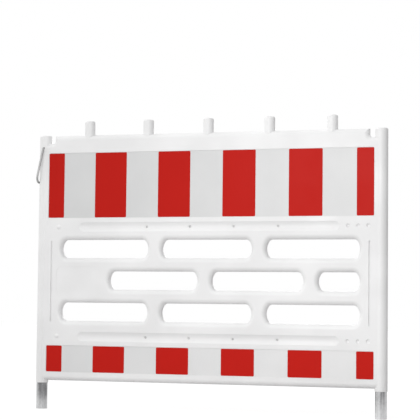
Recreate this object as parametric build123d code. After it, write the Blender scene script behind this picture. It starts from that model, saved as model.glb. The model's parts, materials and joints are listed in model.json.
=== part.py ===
from build123d import *
import os
from math import asin, degrees, sqrt

# Road barrier panel of moulded plastic: two half shells joined on the middle plane, three rows of slots,
# red and white sheeting on both faces, lamp pegs on the top rail, a round post at each end with a steel
# foot tube in it, and a steel coupling bail that swings on the left post.
# Millimetres. X along the panel, Y through it with the front at -Y, Z up from the ends of the foot tubes.

# Heights, stacked from the ends of the foot tubes upwards
foot_length = 100.0
post_drop = 10.0
lower_margin = 34.0
lower_red_height = 100.0
slot_area_height = 494.0
upper_red_height = 250.0
upper_margin = 70.0
post_rise = 1.5

# Half shells
half_thickness = 21.5
wall = 4.0
edge_radius = 18.0

# Sheeting
field_length = 128.0
field_count = 10
red_margin = 1.0
red_corner = 4.0
sheet_corner = 5.0
sheet_clearance = 0.5
sheet_thickness = 0.6
red_thickness = 0.3
recess_depth = 2.0

# Foot tubes: a drawn-in spigot goes up into the post and its shoulder bears on the end of the post
tube_radius = 21.2
tube_wall = 2.6
tube_shoulder = 1.0
spigot_length = 232.0
spigot_clearance = 0.1
spigot_end_gap = 2.0

# End posts, placed from the ends of the sheeting
post_offset = 24.0
post_cover = 2.3
post_edge_radius = 6.0
post_mouth_radius = 1.5
post_bore_step = 2.0

# Slots, sizes at the middle plane
slot_height = 70.0
slot_bow = 15.0
slot_corner = 18.0
slot_web = 56.0
slot_row_gap = 51.0
slot_end_inset = 54.0
slot_rise = 5.0
middle_row_shift = 198.0
pocket_depth = 1.0
pocket_corner = 25.0

# Notch between the rail and each post
notch_inset = 19.5
notch_depth = 31.0
notch_corner = 10.0

# Troughs above and below the slots, with the shell screws
trough_height = 36.0
trough_depth = 5.0
trough_end_inset = 128.0
trough_sheet_gap = 18.5
screw_pitch = 172.0
screw_group_x = 21.7
screw_radius = 2.5
screw_head_radius = 4.5
screw_head_height = 3.5
screw_seat_depth = 4.5
screw_end_cover = 3.5
screw_tip_gap = 1.0
screw_pocket_clearance = 0.5
screw_hole_clearance = 0.25
screw_thread_clearance = 0.02
column_wall = 3.0

# Moulded marks at the ends of the panel, placed from the ends of the sheeting
groove_inset = 16.0
groove_length = 310.0
groove_width = 6.5
groove_depth = 5.0
dimple_inset = 20.5
dimple_pitch = 38.0
dimple_radius = 7.0
last_dimple_radius = 8.0
dimple_depth = 5.0
boss_inset = 43.0
boss_radius = 9.0
boss_height = 3.0

# Lamp pegs: a collar saddled on the rounded rail, the peg above it and a stem in the rail below
peg_count = 5
peg_pitch = 240.0
peg_radius = 20.0
peg_height = 54.0
peg_edge_radius = 7.0
peg_wall = 4.0
peg_stem_radius = 15.0
peg_stem_length = 36.0
peg_clearance = 0.05
collar_extra = 0.4
collar_rise = 1.0
saddle_clearance = 0.3

# Foot screws on the rear of the posts
foot_screw_height = 110.0
foot_screw_radius = 2.75
foot_screw_clearance = 0.05
foot_screw_head_radius = 5.0
foot_screw_head_height = 3.0
foot_screw_seat_depth = 1.5
foot_screw_tip_reach = 2.5
foot_screw_face_clearance = 1.0

# Coupling bail
wire_radius = 4.0
bail_drop = 49.0
bail_reach = 136.0
bail_leg_gap = 1.5
bail_tip_reach = 1.0
bail_clearance = 0.05
bail_rest_gap = 0.3

# Heights that follow
post_bottom = foot_length
panel_bottom = post_bottom + post_drop
lower_red_bottom = panel_bottom + lower_margin
slot_area_bottom = lower_red_bottom + lower_red_height
upper_red_bottom = slot_area_bottom + slot_area_height
panel_top = upper_red_bottom + upper_red_height + upper_margin
post_top = panel_top + post_rise
notch_bottom = panel_top - notch_depth
spigot_top = post_bottom + spigot_length
socket_top = spigot_top + spigot_end_gap
foot_screw_z = post_bottom + foot_screw_height
bail_pivot_z = post_top - bail_drop
collar_top = panel_top + collar_rise
peg_top = collar_top + peg_height
stem_bottom = panel_top - peg_stem_length

# Places along the panel that follow
sheet_end = field_length * field_count / 2
post_axis_x = sheet_end + post_offset
slot_end_x = sheet_end - slot_end_inset
notch_inner_x = sheet_end - notch_inset
groove_x = sheet_end - groove_inset
boss_x = sheet_end - boss_inset
trough_length = 2 * (sheet_end - trough_end_inset)
slot_length = (2 * slot_end_x - 2 * slot_web) / 3
middle_row_start_x = middle_row_shift - slot_end_x
peg_places = [(i - (peg_count - 1) / 2) * peg_pitch for i in range(peg_count)]

# Rows that follow
area_middle_z = slot_area_bottom + slot_area_height / 2
slot_middle_z = area_middle_z + slot_rise
slot_row_pitch = slot_height + slot_row_gap
slot_rows = (slot_middle_z + slot_row_pitch, slot_middle_z, slot_middle_z - slot_row_pitch)
trough_offset_z = slot_area_height / 2 - trough_sheet_gap - trough_height / 2
trough_rows = (area_middle_z + trough_offset_z, area_middle_z - trough_offset_z)
screw_places = [
    (screw_group_x + (i - 1.5) * screw_pitch, z) for z in trough_rows for i in range(4)
]

# Depths and radii that follow
inner_face = half_thickness - wall
recess_face = half_thickness - recess_depth
sheet_face = recess_face + sheet_thickness
rim_chamfer = (edge_radius - wall) * (2 - sqrt(2))
spigot_radius = tube_radius - tube_shoulder
socket_radius = spigot_radius + spigot_clearance
post_radius = tube_radius + post_cover
post_bore_radius = spigot_radius - post_bore_step
cavity_end_x = post_axis_x - post_radius - wall
trough_radius = (trough_height ** 2 / 4 + trough_depth ** 2) / (2 * trough_depth)
trough_bottom = half_thickness - trough_depth
screw_seat_y = trough_bottom - screw_seat_depth
screw_hole_end = trough_bottom - screw_end_cover
screw_pocket_radius = screw_head_radius + screw_pocket_clearance
foot_screw_seat_y = post_radius - foot_screw_seat_depth
foot_screw_tip_y = spigot_radius - tube_wall - foot_screw_tip_reach
bail_half_width = post_radius + wire_radius + bail_leg_gap
bail_bend_radius = bail_half_width - post_radius - bail_rest_gap
bail_tip_y = post_bore_radius - bail_tip_reach
bail_rest_tilt = degrees(asin((post_radius + wire_radius + bail_rest_gap) / bail_reach))


# Helpers
def plate(sketch, y_front, y_back):
    """A flat sketch in X and Z, given thickness from y_front to y_back."""
    return extrude(Plane.XZ.offset(-y_back) * sketch, y_back - y_front)


def window(x0, x1, z0, z1, corner):
    """A rounded rectangle in X and Z by its limits."""
    return Pos((x0 + x1) / 2, (z0 + z1) / 2) * RectangleRounded(x1 - x0, z1 - z0, corner)


def window_plain(x0, x1, z0, z1):
    """A rectangle in X and Z by its limits."""
    return Pos((x0 + x1) / 2, (z0 + z1) / 2) * Rectangle(x1 - x0, z1 - z0)


def block(x0, x1, y0, y1, z0, z1):
    return Pos((x0 + x1) / 2, (y0 + y1) / 2, (z0 + z1) / 2) * Box(x1 - x0, y1 - y0, z1 - z0)


def rod_y(x, z, radius, y0, y1):
    """A round rod along Y."""
    return Pos(x, (y0 + y1) / 2, z) * Rot(90, 0, 0) * Cylinder(radius, y1 - y0)


def rod_z(x, radius, z0, z1):
    """An upright round rod on the middle plane."""
    return Pos(x, 0, (z0 + z1) / 2) * Cylinder(radius, z1 - z0)


def front_half(shape):
    return split(shape, Plane.XZ, keep=Keep.TOP)


def edges_at(solid, y):
    """Edges that lie in the plane at this Y, without those at the post axes."""
    return [
        e
        for e in solid.edges()
        if abs(e.bounding_box().min.Y - y) < 1e-4
        and abs(e.bounding_box().max.Y - y) < 1e-4
        and abs(e.center().X) < post_axis_x - 0.1
    ]


# Slots
def slot_spans(row):
    """Start and end of each slot in a row; the middle row is shifted and ends with a short slot."""
    start = middle_row_start_x if row == 1 else -slot_end_x
    spans = []
    for i in range(3):
        x0 = start + i * (slot_length + slot_web)
        spans.append((x0, min(x0 + slot_length, slot_end_x)))
    return spans


def slot_window(x0, x1, z):
    """A slot in X and Z: straight above and below, with bowed ends and rounded corners."""
    top = z + slot_height / 2
    bottom = z - slot_height / 2
    rim = Line((x0 + slot_bow, top), (x1 - slot_bow, top))
    rim += ThreePointArc((x1 - slot_bow, top), (x1, z), (x1 - slot_bow, bottom))
    rim += Line((x1 - slot_bow, bottom), (x0 + slot_bow, bottom))
    rim += ThreePointArc((x0 + slot_bow, bottom), (x0, z), (x0 + slot_bow, top))
    face = make_face(rim)
    return fillet(face.vertices(), slot_corner)


def slot_windows(grow):
    """All slots as sketches, grown outwards by a margin."""
    slots = [slot_window(x0, x1, z) for row, z in enumerate(slot_rows) for x0, x1 in slot_spans(row)]
    return [offset(slot, grow) for slot in slots] if grow else slots


def marking_pocket():
    """Shallow blank field where the middle row has no slot."""
    x1 = middle_row_start_x - slot_web + edge_radius
    x0 = -slot_end_x - edge_radius
    half = slot_height / 2 + edge_radius
    return window(x0, x1, slot_middle_z - half, slot_middle_z + half, pocket_corner)


# Panel body
def outline():
    """Front view of the panel between the post axes, with a step down at each notch."""
    face = window_plain(-post_axis_x, post_axis_x, panel_bottom, panel_top)
    for x in (-post_axis_x, notch_inner_x):
        face -= window_plain(x, x + post_axis_x - notch_inner_x, notch_bottom, panel_top)
    steps = [v for v in face.vertices() if abs(abs(v.X) - notch_inner_x) < 0.1]
    return fillet([v for v in steps if v.Y < notch_bottom + 0.1], notch_corner)


def slab():
    """The slotted panel body without posts, with one large rounding on every edge."""
    body = plate(outline(), -half_thickness, 0)
    for sketch in slot_windows(0):
        body -= plate(sketch, -half_thickness, 0)
    return fillet(edges_at(body, -half_thickness), edge_radius)


def post_half(x):
    """Front half of a round end post, closed on top."""
    post = rod_z(x, post_radius, post_bottom, post_top)
    rims = post.edges().filter_by(GeomType.CIRCLE).sort_by(Axis.Z)
    post = fillet(rims[-1], post_edge_radius)
    rims = post.edges().filter_by(GeomType.CIRCLE).sort_by(Axis.Z)
    return front_half(fillet(rims[0], post_mouth_radius))


def post_bore_half(x):
    """The bore of a post: the tube socket with its stop, and the narrower space above it."""
    bore = rod_z(x, socket_radius, post_bottom, socket_top)
    bore += rod_z(x, post_bore_radius, socket_top, post_top - wall)
    return front_half(bore)


# Moulded features of the faces
def trough(z, grow):
    """Concave trough along the panel with rounded ends; grown, it is the moulding behind it."""
    centre_y = trough_radius - trough_depth + half_thickness
    length = trough_length - trough_height
    bar = Rot(0, 90, 0) * Cylinder(trough_radius + grow, length)
    for x in (-length / 2, length / 2):
        bar += Pos(x, 0, 0) * Sphere(trough_radius + grow)
    return Pos(0, -centre_y, z) * bar


def sheet_window(bottom, height, grow):
    """A sheeting field in X and Z, grown outwards from the red print."""
    x1 = sheet_end + grow
    return window(-x1, x1, bottom - grow, bottom + height + grow, sheet_corner + grow)


def sheet_areas(grow):
    return [
        sheet_window(upper_red_bottom, upper_red_height, grow),
        sheet_window(lower_red_bottom, lower_red_height, grow),
    ]


def cap_of_sphere(x, z, radius, depth, side):
    """A ball that leaves a round cap of the given radius on the front face; side is +1 out, -1 in."""
    ball = (radius ** 2 + depth ** 2) / (2 * depth)
    return Pos(x, -half_thickness + side * (ball - depth), z) * Sphere(ball)


def groove(x, grow):
    half_width = groove_width / 2 + grow
    half_length = groove_length / 2 + grow
    bottom_y = groove_depth + grow - half_thickness
    z0 = area_middle_z - half_length
    return block(x - half_width, x + half_width, -half_thickness, bottom_y, z0, z0 + 2 * half_length)


def dimples(s):
    """Places and radii of the dimples at one end of the panel, the last one larger."""
    radii = (last_dimple_radius, dimple_radius, dimple_radius)
    last_x = sheet_end - dimple_inset
    return [(s * (last_x - i * dimple_pitch), z, r) for z in trough_rows for i, r in enumerate(radii)]


def front_boss(x, z):
    """Raised round button on the front face."""
    ball = cap_of_sphere(x, z, boss_radius, boss_height, 1)
    return ball & rod_y(x, z, boss_radius, -half_thickness - boss_height, -half_thickness + wall / 2)


# Half shells
def cavity(s, front):
    """Space inside the half shell, open at the middle plane."""
    face = window_plain(-cavity_end_x, cavity_end_x, panel_bottom + wall, panel_top - wall)
    corner_x = notch_inner_x - wall
    for x in (-cavity_end_x, corner_x):
        face -= window_plain(x, x + cavity_end_x - corner_x, notch_bottom - wall, panel_top)
    space = plate(face, -inner_face, 0)
    for sketch in slot_windows(wall):
        space -= plate(sketch, -inner_face, 0)
    space = chamfer(edges_at(space, -inner_face), rim_chamfer)
    for sketch in sheet_areas(red_margin + sheet_clearance + wall):
        space -= plate(sketch, -inner_face, -recess_face + wall)
    for z in trough_rows:
        space -= trough(z, wall)
    for x in (-groove_x, groove_x):
        space -= groove(x, wall)
    for x, z, r in dimples(s):
        space -= rod_y(x, z, r + wall, -half_thickness, -half_thickness + dimple_depth + wall)
    for x in peg_places:
        space -= rod_z(x, peg_stem_radius + wall, stem_bottom - wall, panel_top)
    column = screw_pocket_radius if front else screw_radius
    for x, z in screw_places:
        space -= rod_y(x, z, column + column_wall, -half_thickness, 0)
    return space


def screw_hole(x, z, front):
    """Front: pocket for the head and a clear hole. Rear: a blind hole for the thread."""
    if not front:
        return rod_y(x, z, screw_radius + screw_thread_clearance, -screw_hole_end, 0)
    hole = rod_y(x, z, screw_pocket_radius, -half_thickness, -screw_seat_y)
    return hole + rod_y(x, z, screw_radius + screw_hole_clearance, -screw_seat_y, 0)


def foot_screw_hole(x):
    """Flat seat for the head and a hole through the wall of the post."""
    face = foot_screw_head_radius + foot_screw_face_clearance
    hole = rod_y(x, foot_screw_z, face, -post_radius, -foot_screw_seat_y)
    return hole + rod_y(x, foot_screw_z, foot_screw_radius + foot_screw_clearance, -post_radius, 0)


def half_shell(front):
    """One half of the panel, made as the front half; the rear one is mirrored at the end."""
    s = 1 if front else -1
    body = slab()
    for x in (-post_axis_x, post_axis_x):
        body += post_half(x)
    for z in trough_rows:
        body += front_boss(-s * boss_x, z)
    body -= cavity(s, front)
    for x in (-post_axis_x, post_axis_x):
        body -= post_bore_half(x)
    for x in peg_places:
        body -= front_half(rod_z(x, peg_stem_radius + peg_clearance, stem_bottom, panel_top))
    for sketch in sheet_areas(red_margin + sheet_clearance):
        body -= plate(sketch, -half_thickness, -recess_face)
    for z in trough_rows:
        body -= trough(z, 0)
    for x in (-groove_x, groove_x):
        body -= groove(x, 0)
    for x, z, r in dimples(s):
        body -= cap_of_sphere(x, z, r, dimple_depth, -1)
    body -= plate(marking_pocket(), -half_thickness, -half_thickness + pocket_depth)
    body -= rod_y(-post_axis_x, bail_pivot_z, wire_radius + bail_clearance, -post_radius, 0)
    for x, z in screw_places:
        body -= screw_hole(x, z, front)
    if not front:
        for x in (-post_axis_x, post_axis_x):
            body -= foot_screw_hole(x)
        body = mirror(body, Plane.XZ)
    return body


# Parts that are fitted to the shells
def foot_tube(x):
    """Steel tube, open at both ends, with the spigot drawn in by the shoulder's width inside and out."""
    tube = rod_z(x, tube_radius, 0, post_bottom) + rod_z(x, spigot_radius, post_bottom, spigot_top)
    tube -= rod_z(x, tube_radius - tube_wall, 0, post_bottom - tube_wall)
    tube -= rod_z(x, spigot_radius - tube_wall, post_bottom - tube_wall, spigot_top)
    return tube - rod_y(x, foot_screw_z, foot_screw_radius + foot_screw_clearance, 0, tube_radius)


def rail_block(x):
    """A short length of the rounded rail, to cut the saddle of a peg."""
    half_length = peg_radius + wall
    height = 3 * edge_radius
    section = RectangleRounded(2 * (half_thickness + saddle_clearance), height, edge_radius)
    section = Plane.YZ.offset(x - half_length) * Pos(0, panel_top - height / 2) * section
    return extrude(section, 2 * half_length)


def lamp_peg(x):
    """Hollow peg with a closed top, a collar saddled on the rail and a stem in the rail's socket."""
    collar = rod_z(x, peg_radius + collar_extra, panel_top - edge_radius, collar_top)
    body = rod_z(x, peg_radius, collar_top, peg_top)
    body = fillet(body.edges().filter_by(GeomType.CIRCLE).sort_by(Axis.Z)[-1], peg_edge_radius)
    body += collar - rail_block(x)
    body += rod_z(x, peg_stem_radius, stem_bottom, collar_top)
    return body - rod_z(x, peg_stem_radius - peg_wall, stem_bottom, peg_top - peg_wall)


def sheet(bottom, height, front):
    face = sheet_window(bottom, height, red_margin)
    body = plate(face, -sheet_face, -recess_face)
    return body if front else mirror(body, Plane.XZ)


def red_fields(bottom, height, front):
    """Red fields of a sheeting: a half field at each end and whole ones between, every second field."""
    fields = []
    for i in range(field_count // 2 + 1):
        x0 = max((2 * i - 0.5) * field_length - sheet_end, -sheet_end)
        x1 = min((2 * i + 0.5) * field_length - sheet_end, sheet_end)
        face = window(x0, x1, bottom, bottom + height, red_corner)
        body = plate(face, -sheet_face - red_thickness, -sheet_face)
        fields.append(body if front else mirror(body, Plane.XZ))
    return Compound(children=fields)


def shell_screws():
    screws = []
    for x, z in screw_places:
        head = rod_y(x, z, screw_head_radius, -screw_seat_y - screw_head_height, -screw_seat_y)
        screws.append(head + rod_y(x, z, screw_radius, -screw_seat_y, screw_hole_end - screw_tip_gap))
    return Compound(children=screws)


def foot_screws():
    screws = []
    for x in (-post_axis_x, post_axis_x):
        head_end = foot_screw_seat_y + foot_screw_head_height
        head = rod_y(x, foot_screw_z, foot_screw_head_radius, foot_screw_seat_y, head_end)
        screws.append(head + rod_y(x, foot_screw_z, foot_screw_radius, foot_screw_tip_y, foot_screw_seat_y))
    return Compound(children=screws)


def coupling_bail():
    """Bent wire: two legs beside the post, a round end, and the tips turned in as hinge pins."""
    w = bail_half_width
    b = bail_bend_radius
    leg_end = -(bail_reach - w)
    path = Line((-bail_tip_y, 0), (-(w - b), 0))
    path += RadiusArc((-(w - b), 0), (-w, -b), -b)
    path += Line((-w, -b), (-w, leg_end))
    path += ThreePointArc((-w, leg_end), (0, -bail_reach), (w, leg_end))
    path += Line((w, leg_end), (w, -b))
    path += RadiusArc((w, -b), (w - b, 0), -b)
    path += Line((w - b, 0), (bail_tip_y, 0))
    path = Plane.YZ * path
    section = Plane(origin=path @ 0, z_dir=path % 0) * Circle(wire_radius)
    wire = sweep(section, path=path)
    return Pos(-post_axis_x, 0, bail_pivot_z) * Rot(0, bail_rest_tilt, 0) * wire


# Export
os.makedirs("parts", exist_ok=True)
parts = {
    "front_shell": half_shell(True),
    "rear_shell": half_shell(False),
    "left_foot_tube": foot_tube(-post_axis_x),
    "right_foot_tube": foot_tube(post_axis_x),
    "shell_screws": shell_screws(),
    "foot_screws": foot_screws(),
    "coupling_bail": coupling_bail(),
}
for number, place in enumerate(peg_places, 1):
    parts[f"lamp_peg_{number}"] = lamp_peg(place)
for face, is_front in (("front", True), ("rear", False)):
    parts[f"{face}_upper_sheet"] = sheet(upper_red_bottom, upper_red_height, is_front)
    parts[f"{face}_lower_sheet"] = sheet(lower_red_bottom, lower_red_height, is_front)
    parts[f"{face}_upper_red_fields"] = red_fields(upper_red_bottom, upper_red_height, is_front)
    parts[f"{face}_lower_red_fields"] = red_fields(lower_red_bottom, lower_red_height, is_front)
for name, shape in parts.items():
    export_step(shape, f"parts/{name}.step")
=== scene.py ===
import bmesh
import bpy
import json
import math
from mathutils import Euler, Matrix, Vector


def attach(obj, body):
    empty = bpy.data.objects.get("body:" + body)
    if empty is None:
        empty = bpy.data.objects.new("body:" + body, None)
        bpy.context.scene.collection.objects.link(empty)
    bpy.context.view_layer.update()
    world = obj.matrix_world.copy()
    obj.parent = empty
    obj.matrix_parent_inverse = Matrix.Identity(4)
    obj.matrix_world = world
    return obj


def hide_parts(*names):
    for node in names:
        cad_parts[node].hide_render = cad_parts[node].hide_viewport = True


# Road barrier panel of moulded plastic with red and white sheeting, in metres, +Z up, front at -Y.

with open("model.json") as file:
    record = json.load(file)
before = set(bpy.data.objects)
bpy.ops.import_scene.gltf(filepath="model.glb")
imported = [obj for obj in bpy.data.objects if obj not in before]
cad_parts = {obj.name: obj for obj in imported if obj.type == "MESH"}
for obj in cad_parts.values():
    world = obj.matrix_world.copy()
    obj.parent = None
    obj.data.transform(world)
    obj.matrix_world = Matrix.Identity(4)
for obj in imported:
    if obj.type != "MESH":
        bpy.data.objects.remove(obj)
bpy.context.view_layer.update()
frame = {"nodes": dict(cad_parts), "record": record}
nodes = frame["nodes"]
scene = bpy.context.scene
scene.view_settings.view_transform = "Standard"

# Camera, fitted to the edges of the sheeting in the photograph
PHOTO_WIDTH_PX = 420
FOCAL_PX = 1486.0
SENSOR_WIDTH_MM = 36.0
CAMERA_PLACE = Vector((1.644, -5.356, 0.409))
CAMERA_YAW = math.radians(16.97)
CAMERA_PITCH = math.radians(3.63)
CAMERA_ROLL = math.radians(0.616)

# Light and floor
SKY_STRENGTH = 0.6
SKY_RIGHT_STRENGTH = 0.3
SKY_TURN = (0.0, 0.7)
BACKGROUND_STRENGTH = 1.0
KEY_DIRECTION = Vector((-0.48, -0.32, 0.82))
KEY_STRENGTH = 1.35
KEY_ANGLE = math.radians(135)
BOX_SIZE = 0.8
FRONT_BOX_PLACE = Vector((0.25, -2.0, 1.1))
FRONT_BOX_TARGET = Vector((0.25, 0.0, 0.65))
FRONT_BOX_POWER = 13.0
REAR_BOX_PLACE = Vector((-0.25, 2.4, 1.1))
REAR_BOX_TARGET = Vector((-0.25, 0.0, 0.55))
REAR_BOX_POWER = 9.0
FLOOR_SIZE = 40.0
FLOOR_BOUNCE = 0.55
FLOOR_SHADED = 0.22
FLOOR_GLOW = 0.82

# Plain colours, linear
PLASTIC_WHITE = (0.845, 0.844, 0.845)
PLASTIC_SHADE = (0.795, 0.794, 0.795)
PLASTIC_DUST = (0.62, 0.60, 0.57)
FILM_WHITE = (0.84, 0.84, 0.84)
FILM_SHADE = (0.60, 0.605, 0.605)
FILM_RED = (0.565, 0.013, 0.008)
FILM_RED_SHADE = (0.47, 0.011, 0.007)
STEEL_LIGHT = (0.70, 0.705, 0.71)
STEEL_DARK = (0.15, 0.15, 0.155)
WIRE_LIGHT = (0.54, 0.54, 0.54)
WIRE_DARK = (0.34, 0.34, 0.34)
ZINC_LIGHT = (0.82, 0.82, 0.82)
ZINC_DARK = (0.68, 0.68, 0.68)

# Ranges of a value that several materials share
WHOLE = (0.0, 1.0)
FALLING = (1.0, 0.0)
MIDDLE = (0.3, 0.7)

# Numbers of the mix node's sockets for colours
MIX_FACTOR = 0
MIX_FIRST = 6
MIX_SECOND = 7
MIX_RESULT = 2

# Moulded plastic: scales per metre, heights and widths in metres, each bump a strength and a depth
CLOUD_SCALE = 4.0
CLOUD_SPAN = (0.35, 0.65)
RUN_STRETCH = (60.0, 60.0, 3.0)
RUN_DETAIL = 4.0
RUN_SPAN = (0.45, 0.75)
DUST_HEIGHTS = (0.08, 0.34)
DUST_SHARE = 0.06
SCUFF_STRETCH = (30.0, 30.0, 260.0)
SCUFF_DETAIL = 2.0
SCUFF_SPAN = (0.68, 0.76)
SCUFF_SHARE = 0.10
SEAM_SPAN = (0.0002, 0.0008)
SEAM_SHARE = 0.45
SEAM_BUMP = (0.5, 0.0004)
GRAIN_SCALE = 1500.0
GRAIN_DETAIL = 2.0
GRAIN_BUMP = (0.12, 0.0002)
WAVE_SCALE = 9.0
WAVE_DETAIL = 1.0
WAVE_BUMP = (0.25, 0.002)
PLASTIC_ROUGHNESS = (0.36, 0.50)
PLASTIC_IOR = 1.48

# Reflective film: shares of its shade colour, with painted shade that darkens it to the left and upwards
DRIFT_SCALE = 5.0
DRIFT_SHARE = 0.15
PAINTED_SHADE_ALONG = (-0.6, 0.6)
PAINTED_SHADE_ALONG_SHARES = (0.38, 0.0)
PAINTED_SHADE_UP = (0.25, 0.75)
PAINTED_SHADE_UP_SHARES = (0.0, 0.25)
FILM_WAVE_SCALE = 14.0
FILM_WAVE_BUMP = (0.15, 0.001)
FILM_ROUGHNESS = (0.38, 0.48)
FILM_SPECULAR = 0.07
WHITE_RIM_SHARE = 0.35
RED_RIM_SHARE = 0.90
RIM_BUMP = (0.08, 0.0001)

# Six-sided cells of the film: a cell is one unit wide, so that its rim lies half a unit from its middle
CELL_SIZE = 0.0034
CELL_EDGE = 0.5
CELL_RIM = 0.11
CELL_HALF = Vector((0.5, 0.5, math.sqrt(3) / 2))
CELL_STEP = Vector((0.5, 0.0, math.sqrt(3) / 2))
CELL_ACROSS = Vector((1.0, 0.0, 0.0))

# Zinc plated steel: shares of the dark tone, with painted shade from the tubes' lower ends up to the sleeves
SPANGLE_SCALE = 160.0
SPANGLE_SHARE = 0.10
BAND_STRETCH = (48.0, 48.0, 1.5)
# Shift of the bands, chosen so that dark bands lie on the feet's edges as painted shade
BAND_SHIFT_TO_PAINTED_EDGES = 148.2
BAND_DETAIL = 2.0
BAND_SPAN = (0.35, 0.65)
BAND_SHARES = (0.30, 0.72)
STREAK_STRETCH = (420.0, 420.0, 9.0)
STREAK_SPAN = (0.35, 0.7)
STREAK_SHARES = (0.0, 0.12)
STREAK_BUMP = (0.10, 0.0003)
PATCH_SCALE = 26.0
PATCH_DETAIL = 4.0
PATCH_SHARES = (0.0, 0.15)
PATCH_BUMP = (0.08, 0.0005)
PAINTED_SLEEVE_SHADE_HEIGHTS = (0.0, 0.10)
PAINTED_SLEEVE_SHADE_SHARE = 0.25
TUBE_ROUGHNESS = 0.42
WIRE_ROUGHNESS = 0.60
ZINC_ROUGHNESS = 0.80
ROUGHNESS_SPREAD = 0.08

# Screws: profiles as pairs of a share of the CAD screw's radius and a share of its height from the seat
SCREW_SPREAD = 0.02
WIDE_SHARE = 0.9
RING_POINTS = 48
SOCKET_SIDES = 6
SHANK_PROFILE = ((0.55, -1.0), (1.0, -0.94), (1.0, 0.0))
HEAD_PROFILE = (
    (0.97, 0.0), (1.0, 0.06), (1.0, 0.35), (0.95, 0.62), (0.82, 0.84), (0.66, 0.96), (0.52, 1.0),
)
SOCKET_PROFILE = ((0.36, 1.0), (0.34, 0.96), (0.34, 0.45))
SOCKET_FLOOR = 0.36
SMOOTH_LIMIT = math.radians(35)


# Node helpers
def new_material(name):
    """A node material with its tree and its shader."""
    made = bpy.data.materials.new(name)
    made.use_nodes = True
    return made, made.node_tree, made.node_tree.nodes["Principled BSDF"]


def add(tree, kind, links=None, **settings):
    """A node with its properties set and its inputs linked or filled by name or number."""
    made = tree.nodes.new(kind)
    for key, value in settings.items():
        setattr(made, key, value)
    for key, value in (links or {}).items():
        socket = made.inputs[key]
        if isinstance(value, bpy.types.NodeSocket):
            tree.links.new(value, socket)
        else:
            socket.default_value = value
    return made


def place(tree):
    """The point in the shared frame, in metres."""
    return add(tree, "ShaderNodeTexCoord").outputs["Object"]


def axes_of(tree, vector):
    """The parts of a vector along X, Y and Z."""
    return add(tree, "ShaderNodeSeparateXYZ", {"Vector": vector}).outputs


def scaled(tree, point, scale, shift=0.0):
    """The point stretched along its axes and shifted along X."""
    links = {"Vector": point, "Scale": scale, "Location": (shift, 0.0, 0.0)}
    return add(tree, "ShaderNodeMapping", links).outputs["Vector"]


def noise(tree, point, scale=1.0, detail=3.0):
    """A cloudy pattern of values from 0 to 1."""
    links = {"Vector": point, "Scale": scale, "Detail": detail}
    return add(tree, "ShaderNodeTexNoise", links).outputs["Fac"]


def ramp(tree, value, span, result=WHOLE):
    """A smooth change from the first to the second result, as a value goes over its span."""
    links = {
        "Value": value,
        "From Min": span[0],
        "From Max": span[1],
        "To Min": result[0],
        "To Max": result[1],
    }
    return add(tree, "ShaderNodeMapRange", links, interpolation_type="SMOOTHSTEP").outputs["Result"]


def math_node(tree, operation, first, second=0.0):
    """One step of arithmetic on two values."""
    return add(tree, "ShaderNodeMath", {0: first, 1: second}, operation=operation).outputs[0]


def times(tree, first, second):
    """The product of two values."""
    return math_node(tree, "MULTIPLY", first, second)


def plus(tree, first, second):
    """The sum of two values."""
    return math_node(tree, "ADD", first, second)


def vector_node(tree, operation, output, *vectors):
    """One step of arithmetic on vectors."""
    links = dict(enumerate(vectors))
    return add(tree, "ShaderNodeVectorMath", links, operation=operation).outputs[output]


def blend(tree, factor, first, second):
    """A mix of two colours."""
    made = add(tree, "ShaderNodeMix", data_type="RGBA")
    for number, value in ((MIX_FACTOR, factor), (MIX_FIRST, first), (MIX_SECOND, second)):
        socket = made.inputs[number]
        if isinstance(value, bpy.types.NodeSocket):
            tree.links.new(value, socket)
        else:
            socket.default_value = (*value, 1.0) if isinstance(value, tuple) else value
    return made.outputs[MIX_RESULT]


def bump(tree, height, shape, below=None):
    """A relief of a strength and a depth, on top of another relief where one is given."""
    strength, depth = shape
    links = {"Height": height, "Strength": strength, "Distance": depth}
    if below:
        links["Normal"] = below
    return add(tree, "ShaderNodeBump", links).outputs["Normal"]


def grey(level):
    """A plain grey, opaque."""
    return (level, level, level, 1.0)


# Materials
def white_plastic():
    """Moulded plastic: fine grain, a slight wave of the walls, a parting line, dust and scuffs."""
    made, tree, shader = new_material("white_plastic")
    point = place(tree)
    axes = axes_of(tree, point)
    clouds = noise(tree, point, CLOUD_SCALE)
    colour = blend(tree, ramp(tree, clouds, CLOUD_SPAN), PLASTIC_WHITE, PLASTIC_SHADE)
    runs = noise(tree, scaled(tree, point, RUN_STRETCH), detail=RUN_DETAIL)
    low_down = ramp(tree, axes["Z"], DUST_HEIGHTS, FALLING)
    dust = times(tree, ramp(tree, runs, RUN_SPAN), low_down)
    colour = blend(tree, times(tree, dust, DUST_SHARE), colour, PLASTIC_DUST)
    scuffs = noise(tree, scaled(tree, point, SCUFF_STRETCH), detail=SCUFF_DETAIL)
    scuffs = ramp(tree, scuffs, SCUFF_SPAN)
    colour = blend(tree, times(tree, scuffs, SCUFF_SHARE), colour, PLASTIC_DUST)
    seam = ramp(tree, math_node(tree, "ABSOLUTE", axes["Y"]), SEAM_SPAN, FALLING)
    colour = blend(tree, times(tree, seam, SEAM_SHARE), colour, PLASTIC_DUST)
    tree.links.new(colour, shader.inputs["Base Color"])
    tree.links.new(ramp(tree, clouds, MIDDLE, PLASTIC_ROUGHNESS), shader.inputs["Roughness"])
    surface = bump(tree, noise(tree, point, WAVE_SCALE, WAVE_DETAIL), WAVE_BUMP)
    surface = bump(tree, noise(tree, point, GRAIN_SCALE, GRAIN_DETAIL), GRAIN_BUMP, surface)
    surface = bump(tree, math_node(tree, "SUBTRACT", 0.0, seam), SEAM_BUMP, surface)
    tree.links.new(surface, shader.inputs["Normal"])
    shader.inputs["IOR"].default_value = PLASTIC_IOR
    return made


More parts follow.
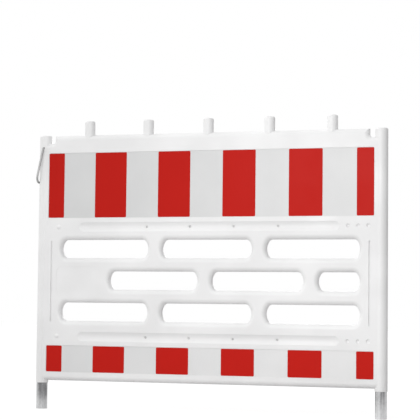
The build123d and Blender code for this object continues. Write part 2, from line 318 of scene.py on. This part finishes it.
def cell_reach(tree, point):
    """How far a point lies from the middle of the nearest cell, among the cells of every second row."""
    wrapped = vector_node(tree, "WRAP", "Vector", point, CELL_HALF, -CELL_HALF)
    inside = vector_node(tree, "ABSOLUTE", "Vector", wrapped)
    across = vector_node(tree, "DOT_PRODUCT", "Value", inside, CELL_ACROSS)
    slanted = vector_node(tree, "DOT_PRODUCT", "Value", inside, CELL_STEP)
    return math_node(tree, "MAXIMUM", across, slanted)


def film(name, light, shade, rim_share):
    """Reflective film: six-sided cells under a clear face, slight waves, colour drift, and painted shade to
    the left and upwards.
    """
    made, tree, shader = new_material(name)
    point = place(tree)
    axes = axes_of(tree, point)
    flat = scaled(tree, point, (1 / CELL_SIZE, 0.0, 1 / CELL_SIZE))
    stepped = vector_node(tree, "ADD", "Vector", flat, CELL_STEP)
    nearest = math_node(tree, "MINIMUM", cell_reach(tree, flat), cell_reach(tree, stepped))
    rims = ramp(tree, nearest, (CELL_EDGE - CELL_RIM, CELL_EDGE))
    drift = ramp(tree, noise(tree, point, DRIFT_SCALE), MIDDLE)
    drift_and_painted_shade = times(tree, drift, DRIFT_SHARE)
    # Painted shade: the film darkens to the left and upwards
    drift_and_painted_shade = plus(tree, drift_and_painted_shade, ramp(tree, axes["X"], PAINTED_SHADE_ALONG, PAINTED_SHADE_ALONG_SHARES))
    drift_and_painted_shade = plus(tree, drift_and_painted_shade, ramp(tree, axes["Z"], PAINTED_SHADE_UP, PAINTED_SHADE_UP_SHARES))
    colour = blend(tree, drift_and_painted_shade, light, shade)
    colour = blend(tree, times(tree, rims, rim_share), colour, shade)
    tree.links.new(colour, shader.inputs["Base Color"])
    tree.links.new(ramp(tree, drift, WHOLE, FILM_ROUGHNESS), shader.inputs["Roughness"])
    surface = bump(tree, noise(tree, point, FILM_WAVE_SCALE, WAVE_DETAIL), FILM_WAVE_BUMP)
    surface = bump(tree, rims, RIM_BUMP, surface)
    tree.links.new(surface, shader.inputs["Normal"])
    shader.inputs["Specular IOR Level"].default_value = FILM_SPECULAR
    return made


def galvanised_steel(name, light, dark, roughness):
    """Zinc plated steel: spangles, upright bands and streaks, patches, and painted shade that grows to the
    sleeve; the bands are shifted so that dark ones lie on the feet's edges as painted shade.
    """
    made, tree, shader = new_material(name)
    point = place(tree)
    cells = add(tree, "ShaderNodeTexVoronoi", {"Vector": point, "Scale": SPANGLE_SCALE})
    spangle = add(tree, "ShaderNodeSeparateColor", {"Color": cells.outputs["Color"]}).outputs["Red"]
    # Upright bands, shifted so that dark ones lie on the feet's edges as painted shade
    bands_and_painted_edges = noise(tree, scaled(tree, point, BAND_STRETCH, BAND_SHIFT_TO_PAINTED_EDGES), detail=BAND_DETAIL)
    bands_and_painted_edges = ramp(tree, bands_and_painted_edges, BAND_SPAN)
    streaks = noise(tree, scaled(tree, point, STREAK_STRETCH))
    patches = noise(tree, point, PATCH_SCALE, PATCH_DETAIL)
    # Painted shade: the tubes darken from their lower ends up to the sleeves, and the bands grow stronger
    # there
    painted_sleeve_shade = ramp(tree, axes_of(tree, point)["Z"], PAINTED_SLEEVE_SHADE_HEIGHTS)
    tone = times(tree, spangle, SPANGLE_SHARE)
    tone = plus(tree, tone, ramp(tree, streaks, STREAK_SPAN, STREAK_SHARES))
    tone = plus(tree, tone, ramp(tree, patches, MIDDLE, PATCH_SHARES))
    tone = plus(tree, tone, times(tree, bands_and_painted_edges, ramp(tree, painted_sleeve_shade, WHOLE, BAND_SHARES)))
    tone = plus(tree, tone, times(tree, painted_sleeve_shade, PAINTED_SLEEVE_SHADE_SHARE))
    colour = blend(tree, math_node(tree, "MINIMUM", tone, 1.0), light, dark)
    tree.links.new(colour, shader.inputs["Base Color"])
    shader.inputs["Metallic"].default_value = 1.0
    spread = (roughness - ROUGHNESS_SPREAD, roughness + ROUGHNESS_SPREAD)
    tree.links.new(ramp(tree, patches, MIDDLE, spread), shader.inputs["Roughness"])
    surface = bump(tree, streaks, STREAK_BUMP)
    surface = bump(tree, patches, PATCH_BUMP, surface)
    tree.links.new(surface, shader.inputs["Normal"])
    return made


# Screws with a domed head and a hexagon socket, in place of the plain CAD screws
def screw_sites(node_name):
    """The points of each screw in a CAD node, gathered by their place on the panel."""
    sites = []
    for vertex in nodes[node_name].data.vertices:
        point = vertex.co
        for site in sites:
            if math.hypot(site[0].x - point.x, site[0].z - point.z) < SCREW_SPREAD:
                site.append(point)
                break
        else:
            sites.append([point])
    return sites


def edge_radius(radius, angle, sides):
    """How far the edge lies from the axis: of a circle, or of a polygon whose sides touch that circle."""
    if not sides:
        return radius
    sector = 2 * math.pi / sides
    return radius / math.cos(angle % sector - sector / 2)


def add_ring(build, middle, depth, radius, sides):
    """A ring of points about the screw's axis, at a depth along Y."""
    ring = []
    for step in range(RING_POINTS):
        angle = 2 * math.pi * step / RING_POINTS
        far = edge_radius(radius, angle, sides)
        spot = (middle.x + far * math.cos(angle), depth, middle.z + far * math.sin(angle))
        ring.append(build.verts.new(spot))
    return ring


def add_screw(build, points):
    """One screw along Y with the CAD screw's own radii, seat, head height and length."""
    low = Vector([min(point[axis] for point in points) for axis in range(3)])
    high = Vector([max(point[axis] for point in points) for axis in range(3)])
    middle = (low + high) / 2
    reach = [math.hypot(point.x - middle.x, point.z - middle.z) for point in points]
    head = max(reach)
    shank = max(far for far in reach if far < WIDE_SHARE * head)
    wide = [point.y for point, far in zip(points, reach) if far >= WIDE_SHARE * head]
    head_in_front = min(wide) - low.y < high.y - max(wide)
    top, seat, tip = (low.y, max(wide), high.y) if head_in_front else (high.y, min(wide), low.y)
    profile = [(shank * far, (seat - tip) * up, 0) for far, up in SHANK_PROFILE]
    profile += [(head * far, (top - seat) * up, 0) for far, up in HEAD_PROFILE]
    profile += [(head * far, (top - seat) * up, SOCKET_SIDES) for far, up in SOCKET_PROFILE]
    rings = [add_ring(build, middle, seat + rise, radius, sides) for radius, rise, sides in profile]
    for ring, after in zip(rings, rings[1:]):
        for step in range(RING_POINTS):
            beyond = (step + 1) % RING_POINTS
            build.faces.new((ring[step], ring[beyond], after[beyond], after[step]))
    build.faces.new(rings[0])
    floor_point = build.verts.new((middle.x, seat + (top - seat) * SOCKET_FLOOR, middle.z))
    for step in range(RING_POINTS):
        build.faces.new((rings[-1][step], rings[-1][(step + 1) % RING_POINTS], floor_point))


def screws(node_name, made):
    """The screws of a CAD node as one piece that stands for it."""
    build = bmesh.new()
    for points in screw_sites(node_name):
        add_screw(build, points)
    bmesh.ops.recalc_face_normals(build, faces=build.faces)
    mesh = bpy.data.meshes.new("socket_" + node_name)
    build.to_mesh(mesh)
    build.free()
    mesh.shade_smooth()
    mesh.set_sharp_from_angle(angle=SMOOTH_LIMIT)
    mesh.materials.append(made)
    piece = bpy.data.objects.new("socket_" + node_name, mesh)
    scene.collection.objects.link(piece)
    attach(piece, "barrier")
    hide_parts(node_name)


def paint(node_name, made):
    """A CAD node gets one material all over."""
    mesh = nodes[node_name].data
    mesh.materials.clear()
    mesh.materials.append(made)


def dress():
    """Materials by slot for the CAD nodes, a duller one for the bail, detailed screws for the plain ones."""
    made = {
        "white_plastic": white_plastic(),
        "white_sheeting": film("white_sheeting", FILM_WHITE, FILM_SHADE, WHITE_RIM_SHARE),
        "red_sheeting": film("red_sheeting", FILM_RED, FILM_RED_SHADE, RED_RIM_SHARE),
        "galvanised_steel": galvanised_steel("galvanised_steel", STEEL_LIGHT, STEEL_DARK, TUBE_ROUGHNESS),
    }
    for part in frame["record"]["subparts"]:
        paint(part["node"], made[part["material_slot"]])
    paint("coupling_bail", galvanised_steel("galvanised_wire", WIRE_LIGHT, WIRE_DARK, WIRE_ROUGHNESS))
    zinc = galvanised_steel("zinc_screws", ZINC_LIGHT, ZINC_DARK, ZINC_ROUGHNESS)
    for node_name in ("shell_screws", "foot_screws"):
        screws(node_name, zinc)


# Stage
def seen_by_eye(tree):
    """1 where the camera, a reflection or a look through glass sees this, 0 for light on the object."""
    path = add(tree, "ShaderNodeLightPath").outputs
    seen = math_node(tree, "MAXIMUM", path["Is Camera Ray"], path["Is Glossy Ray"])
    return math_node(tree, "MAXIMUM", seen, path["Is Transmission Ray"])


def sky():
    """Soft light from all round, weaker from the right, seen as white."""
    world = bpy.data.worlds.new("studio")
    world.use_nodes = True
    tree = world.node_tree
    direction = add(tree, "ShaderNodeTexCoord").outputs["Generated"]
    to_the_right = axes_of(tree, direction)["X"]
    light = ramp(tree, to_the_right, SKY_TURN, (SKY_STRENGTH, SKY_RIGHT_STRENGTH))
    strength = ramp(tree, seen_by_eye(tree), WHOLE, (light, BACKGROUND_STRENGTH))
    background = tree.nodes["Background"]
    tree.links.new(strength, background.inputs["Strength"])
    background.inputs["Color"].default_value = grey(1.0)
    scene.world = world


def floor():
    """Pale floor that is seen as white and keeps a faint shadow."""
    half = FLOOR_SIZE / 2
    mesh = bpy.data.meshes.new("floor")
    corners = [(-half, -half, 0), (half, -half, 0), (half, half, 0), (-half, half, 0)]
    mesh.from_pydata(corners, [], [(0, 1, 2, 3)])
    made = bpy.data.materials.new("floor")
    made.use_nodes = True
    tree = made.node_tree
    tree.nodes.clear()
    bounce = add(tree, "ShaderNodeBsdfDiffuse", {"Color": grey(FLOOR_BOUNCE)})
    shadowed = add(tree, "ShaderNodeBsdfDiffuse", {"Color": grey(FLOOR_SHADED)})
    glow = add(tree, "ShaderNodeEmission", {"Color": grey(1.0), "Strength": FLOOR_GLOW})
    bright = add(tree, "ShaderNodeAddShader", {0: glow.outputs[0], 1: shadowed.outputs[0]})
    links = {0: seen_by_eye(tree), 1: bounce.outputs[0], 2: bright.outputs[0]}
    mixed = add(tree, "ShaderNodeMixShader", links)
    add(tree, "ShaderNodeOutputMaterial", {"Surface": mixed.outputs[0]})
    mesh.materials.append(made)
    plane = bpy.data.objects.new("floor", mesh)
    scene.collection.objects.link(plane)


def aim(lamp, direction):
    """Turns a lamp so that it shines along a direction."""
    lamp.rotation_euler = direction.to_track_quat("-Z", "Y").to_euler()


def soft_box(name, spot, target, power):
    """A square lamp that shines from a spot at a target."""
    lamp = bpy.data.lights.new(name, "AREA")
    lamp.energy = power
    lamp.size = BOX_SIZE
    box = bpy.data.objects.new(name, lamp)
    box.location = spot
    aim(box, target - spot)
    scene.collection.objects.link(box)


def lamps():
    """A wide key light from the upper left in front, and a soft box on each side of the panel."""
    key = bpy.data.lights.new("key", "SUN")
    key.energy = KEY_STRENGTH
    key.angle = KEY_ANGLE
    key_lamp = bpy.data.objects.new("key", key)
    aim(key_lamp, -KEY_DIRECTION)
    scene.collection.objects.link(key_lamp)
    soft_box("front_box", FRONT_BOX_PLACE, FRONT_BOX_TARGET, FRONT_BOX_POWER)
    soft_box("rear_box", REAR_BOX_PLACE, REAR_BOX_TARGET, REAR_BOX_POWER)


def camera():
    """The photograph's view: from the right of the panel, with a long lens and no shift."""
    view = bpy.data.cameras.new("camera")
    view.sensor_width = SENSOR_WIDTH_MM
    view.lens = SENSOR_WIDTH_MM * FOCAL_PX / PHOTO_WIDTH_PX
    eye = bpy.data.objects.new("camera", view)
    level = Euler((math.pi / 2 + CAMERA_PITCH, 0.0, CAMERA_YAW)).to_matrix().to_4x4()
    eye.matrix_world = Matrix.Translation(CAMERA_PLACE) @ level @ Matrix.Rotation(CAMERA_ROLL, 4, "Z")
    scene.collection.objects.link(eye)
    scene.camera = eye


camera()
dress()
sky()
floor()
lamps()
